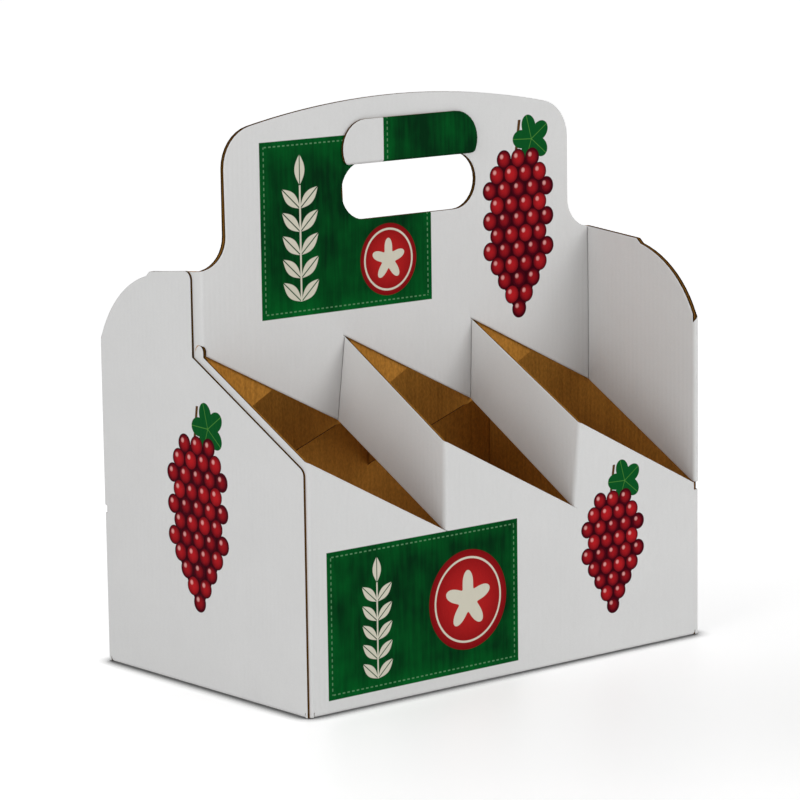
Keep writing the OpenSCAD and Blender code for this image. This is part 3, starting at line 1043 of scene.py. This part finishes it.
def vine_leaf_ink(tree, colour, x, down):
    """A stem and a five-lobed leaf on top of a bunch."""
    stem_half_w, stem_h, stem_x, stem_lean = 1.0, 21, -2, 0.15
    leaf_x, leaf_down, leaf_r, vein_half_w = 10, -10, 8.6, 0.5
    lobe, lobes, lobe_turn = 5.2, 5, 0.35
    stem = (stem_half_w - abs(x - stem_x + down * stem_lean)).inked() * (down < 0) * (down > -stem_h)
    colour = mix(tree, stem, colour, STEM_INK)
    off_x, off_down = x - leaf_x, down - leaf_down
    off = off_x.length_with(off_down)
    half_turn = (off_x.angle_from(off_down) + lobe_turn) * (lobes / 2)
    leaf = (abs(half_turn.cosine()) * lobe + leaf_r - off).inked()
    blade = (abs(half_turn.sine()) * off - vein_half_w).inked(0.5)
    return mix(tree, leaf, colour, mix(tree, blade, VEIN_INK, LEAF_INK))


def bunch_ink(tree, colour, u, z):
    """A bunch of grapes on the front handle panel, one on the front wall and one on the left end wall."""
    core_inset, back_shade, front_shade = 0.45, 0.2, 0.0
    end_wall = u > WALL_FOLD[-1]
    upper = z > FIELD_SPLIT
    front = [either(upper, *pair) for pair in zip(WALL_BUNCH, PANEL_BUNCH)]
    top_u, top_z, size, rows = (either(end_wall, *pair) for pair in zip(front, END_BUNCH))
    x = (u - top_u) / size
    down = (top_z - z) / size
    colour = vine_leaf_ink(tree, colour, x, down)
    row = down / GRAPE_ROW
    core_w = (bunch_width(row, rows) - core_inset) * GRAPE_PITCH
    core = (core_w - abs(x)).inked() * (row > 0) * (row < rows - 1)
    colour = mix(tree, core, colour, GRAPE_OUTLINE)
    for shift, shade in enumerate((back_shade, front_shade)):
        colour = grape_row_ink(tree, colour, x, down, rows, shift, shade)
    return colour


# How far the fluting shows through a liner, and how far below a face the raw edge starts, in millimetres
WASHBOARD, EDGE_DEPTH = 0.03, 0.02
# Shares of the kraft's colour on raw edges: the edge's own brown, and painted shade along the sheet's outline and
# where a flute opens
LIGHT_EDGE, OUTLINE_EDGE_SHADE, OPEN_FLUTE_SHADE = 0.33, 0.26, 0.07


def flute_wave(u):
    return (u * (2 * math.pi / FLUTE_PITCH)).sine()


def on_outline(u, z):
    """1 above the corner folds and on the rear half, where raw edges get painted shade, darker than at the front
    slits.
    """
    return (z > CORNER_Z).most(u > HALF_SHEET)


def cut_edge(tree, u, z):
    """Raw edge of the printed liner, with painted shade where the board opens into a flute and along the sheet's
    outline.
    """
    # Painted shade: the flute's hollow and the sheet's outline darken the liner's raw edge
    depth = (flute_wave(u) + 0.1).inked(1.2) * 0.7 + on_outline(u, z) * 0.3
    return mix(tree, depth, tinted(KRAFT_PAPER, LIGHT_EDGE), tinted(KRAFT_PAPER, OPEN_FLUTE_SHADE))


def printed_paper():
    material, tree, flat, u, z, w = new_finish("printed_white_paper")
    fibres = grain(tree, flat, 0.9, 5.0)
    cloud = grain(tree, flat, 0.03, 2.0)
    white = mix(tree, fibres * 0.5 + cloud * 0.5, tinted(WHITE_PAPER, 0.95), tinted(WHITE_PAPER, 1.05))
    colour = field_ink(tree, white, flat, u, z)
    colour = bunch_ink(tree, colour, u, z)
    colour = mix(tree, w < MID - EDGE_DEPTH, colour, cut_edge(tree, u, z))
    set_surface(tree, colour, fibres * 0.2 + 0.42, flute_wave(u) * WASHBOARD + fibres * 0.03)
    return material


def brown_paper(name, colour):
    """Speckled kraft with faint upright streaks, with painted shade on the raw edges of the sheet's outline."""
    material, tree, flat, u, z, w = new_finish(name)
    fibres = grain(tree, stretched(tree, flat, 1.0, 0.6), 0.9, 6.0)
    cloud = grain(tree, flat, 0.05, 3.0)
    streaks = grain(tree, stretched(tree, flat, 0.4, 0.012), 1.0, 2.0)
    tone = fibres * 1.6 + cloud * 0.5 + streaks * 0.8 - 0.95 + flute_wave(u) * 0.05
    brown = mix(tree, tone.within(), tinted(colour, 0.72), tinted(colour, 1.28))
    # Painted shade on the raw edges, and on all of the fluting, along the sheet's outline
    raw = (w > EDGE_DEPTH - MID) * on_outline(u, z)
    brown = mix(tree, raw, brown, tinted(colour, OUTLINE_EDGE_SHADE))
    set_surface(tree, brown, 0.78, flute_wave(u) * WASHBOARD + fibres * 0.08)
    return material


# Where the flap's bend starts and ends, across the box and up from the hole's upper edge
BEND_FROM, BEND_TO = (-0.3, -0.9), (-2.7, 0.3)

carrier_pieces = make_carrier()
flap_pieces = make_hand_flap()
finishes = (
    printed_paper(),
    brown_paper("brown_paper", KRAFT_PAPER),
    brown_paper("fluting_paper", FLUTING_PAPER),
)
for pieces in (carrier_pieces, flap_pieces):
    for piece, finish in zip(pieces, finishes):
        piece.data.materials.append(finish)
for piece in carrier_pieces:
    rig.ride(piece, "carrier")
    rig.slot(piece, "board")
hinge = [(HOLE_X * MM, y * MM, (HOLE_TOP + rise) * MM) for y, rise in (BEND_FROM, BEND_TO)]
for piece in flap_pieces:
    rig.blend(piece, "carrier", "hand_flap", *hinge)
    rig.slot(piece, "flap_board")
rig.replaces(carrier_pieces[0], "carrier")
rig.replaces(flap_pieces[0], "hand_flap")

# Floor and light, in metres: the floor glows less on a spot in front of the box, a painted shade there that also lets
# the real shadow and reflection of the box show
FLOOR_SIZE, FLOOR_Z, FLOOR_TONE = 12, -0.0001, 0.8
FLOOR_GLOSS, FLOOR_ROUGH = 0.2, 0.45
FLOOR_GLOW, PAINTED_SHADE_GLOW = 0.72, 0.34
PAINTED_SHADE_SPOT, PAINTED_SHADE_REACH = (0.08, -0.28), 0.5
# Reach and shade of the painted shadow on the floor right beside the box
CONTACT_REACH, CONTACT_SHADE, CONTACT_SAMPLES = 0.0085, 0.22, 16
SKY_LIGHT = 0.38
LAMP_SIZE, LAMP_TARGET = 1.1, (0, 0, 0.12)
FRONT_LAMP, FRONT_POWER = (0.75, -1.7, 0.8), 14.2
SIDE_LAMP, SIDE_POWER = (-1.8, -0.3, 0.8), 12.8

# Camera fitted to the photo: turn in degrees, place and reach in metres, and focal length in pixels
AZIMUTH, ELEVATION, ROLL = 39.85, 9.59, -0.78
CAMERA_PLACE = (-1.2308, -1.4717, 0.458)
FOCAL_PIXELS, PICTURE_PIXELS, SENSOR_MM, FARTHEST = 3681, 800, 36, 100


def seen_directly(tree):
    """1 for rays of the camera, and for what glossy and clear surfaces show of the background."""
    camera, glossy, clear = (add_node(tree, "ShaderNodeLightPath", {}, {}, name) for name in
                             ("Is Camera Ray", "Is Glossy Ray", "Is Transmission Ray"))
    return camera.most(glossy).most(clear)


def grey(tone):
    return (tone, tone, tone, 1)


def make_floor():
    bpy.ops.object.select_all(action="DESELECT")
    bpy.ops.mesh.primitive_plane_add(size=FLOOR_SIZE, location=(0, 0, FLOOR_Z))
    floor = bpy.context.object
    floor.name = "floor"
    floor.data.materials.append(pale_floor())
    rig.stage(floor)


def pale_floor():
    """A pale floor that is white where nothing shades it, with a painted shadow where the box stands on it."""
    material = bpy.data.materials.new("pale_floor")
    tree = empty_tree(material)
    lit = add_node(tree, "ShaderNodeBsdfDiffuse", {}, {"Color": grey(FLOOR_TONE)})
    where = add_node(tree, "ShaderNodeTexCoord", {}, {}, "Object")
    x, y = (add_node(tree, "ShaderNodeSeparateXYZ", {}, {0: where}, i) for i in range(2))
    # Painted shade: the floor's glow falls to a lower level on a spot in front of the box
    away = (x - PAINTED_SHADE_SPOT[0]).length_with(y - PAINTED_SHADE_SPOT[1])
    painted_shade_share = (1 - away / PAINTED_SHADE_REACH).within()
    white = seen_directly(tree) * (FLOOR_GLOW - painted_shade_share * (FLOOR_GLOW - PAINTED_SHADE_GLOW))
    glow = add_node(tree, "ShaderNodeEmission", {}, {"Color": white, "Strength": 1.0})
    matt = add_node(tree, "ShaderNodeAddShader", {}, {0: lit, 1: glow})
    gloss = add_node(tree, "ShaderNodeBsdfAnisotropic", {}, {"Color": grey(1), "Roughness": FLOOR_ROUGH})
    pale = add_node(tree, "ShaderNodeMixShader", {}, {0: FLOOR_GLOSS, 1: matt, 2: gloss})
    # Painted shadow: where ambient occlusion finds the box near, the camera sees a dark floor in place of the pale one
    dark = add_node(tree, "ShaderNodeBsdfDiffuse", {}, {"Color": grey(CONTACT_SHADE)})
    settings, reach = {"samples": CONTACT_SAMPLES}, {"Distance": CONTACT_REACH}
    free = add_node(tree, "ShaderNodeAmbientOcclusion", settings, reach, "AO")
    share = (free * 2 - 1).within().most(1 - seen_directly(tree))
    surface = add_node(tree, "ShaderNodeMixShader", {}, {0: share, 1: dark, 2: pale})
    add_output(tree, "ShaderNodeOutputMaterial", surface)
    return material


def make_world():
    world = bpy.data.worlds.new("studio")
    bpy.context.scene.world = world
    tree = empty_tree(world)
    strength = seen_directly(tree) * (1 - SKY_LIGHT) + SKY_LIGHT
    sky = add_node(tree, "ShaderNodeBackground", {}, {"Color": grey(1), "Strength": strength})
    add_output(tree, "ShaderNodeOutputWorld", sky)


def add_lamp(name, place, power):
    lamp = bpy.data.lights.new(name, "AREA")
    lamp.size = LAMP_SIZE
    lamp.energy = power
    holder = bpy.data.objects.new(name, lamp)
    bpy.context.scene.collection.objects.link(holder)
    holder.location = place
    holder.rotation_euler = (Vector(LAMP_TARGET) - Vector(place)).to_track_quat("-Z", "Y").to_euler()


def make_camera():
    azimuth, elevation, roll = (math.radians(angle) for angle in (AZIMUTH, ELEVATION, ROLL))
    reach = math.cos(elevation)
    ahead = Vector((math.sin(azimuth) * reach, math.cos(azimuth) * reach, -math.sin(elevation)))
    level = Vector((math.cos(azimuth), -math.sin(azimuth), 0))
    upright = level.cross(ahead)
    right = level * math.cos(roll) + upright * math.sin(roll)
    up = upright * math.cos(roll) - level * math.sin(roll)
    data = bpy.data.cameras.new("camera")
    data.sensor_width = SENSOR_MM
    data.lens = SENSOR_MM * FOCAL_PIXELS / PICTURE_PIXELS
    data.clip_end = FARTHEST
    camera = bpy.data.objects.new("camera", data)
    bpy.context.scene.collection.objects.link(camera)
    turned = Matrix((right, up, -ahead)).transposed().to_4x4()
    camera.matrix_world = Matrix.Translation(CAMERA_PLACE) @ turned
    bpy.context.scene.camera = camera


make_floor()
make_world()
add_lamp("front_lamp", FRONT_LAMP, FRONT_POWER)
add_lamp("side_lamp", SIDE_LAMP, SIDE_POWER)
make_camera()
bpy.context.scene.view_settings.view_transform = "Standard"

with open("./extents.json", "w") as size_file:
    json.dump({"cad": [list(v) for v in cad_box], "visual": [list(v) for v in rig.bounds()]}, size_file)
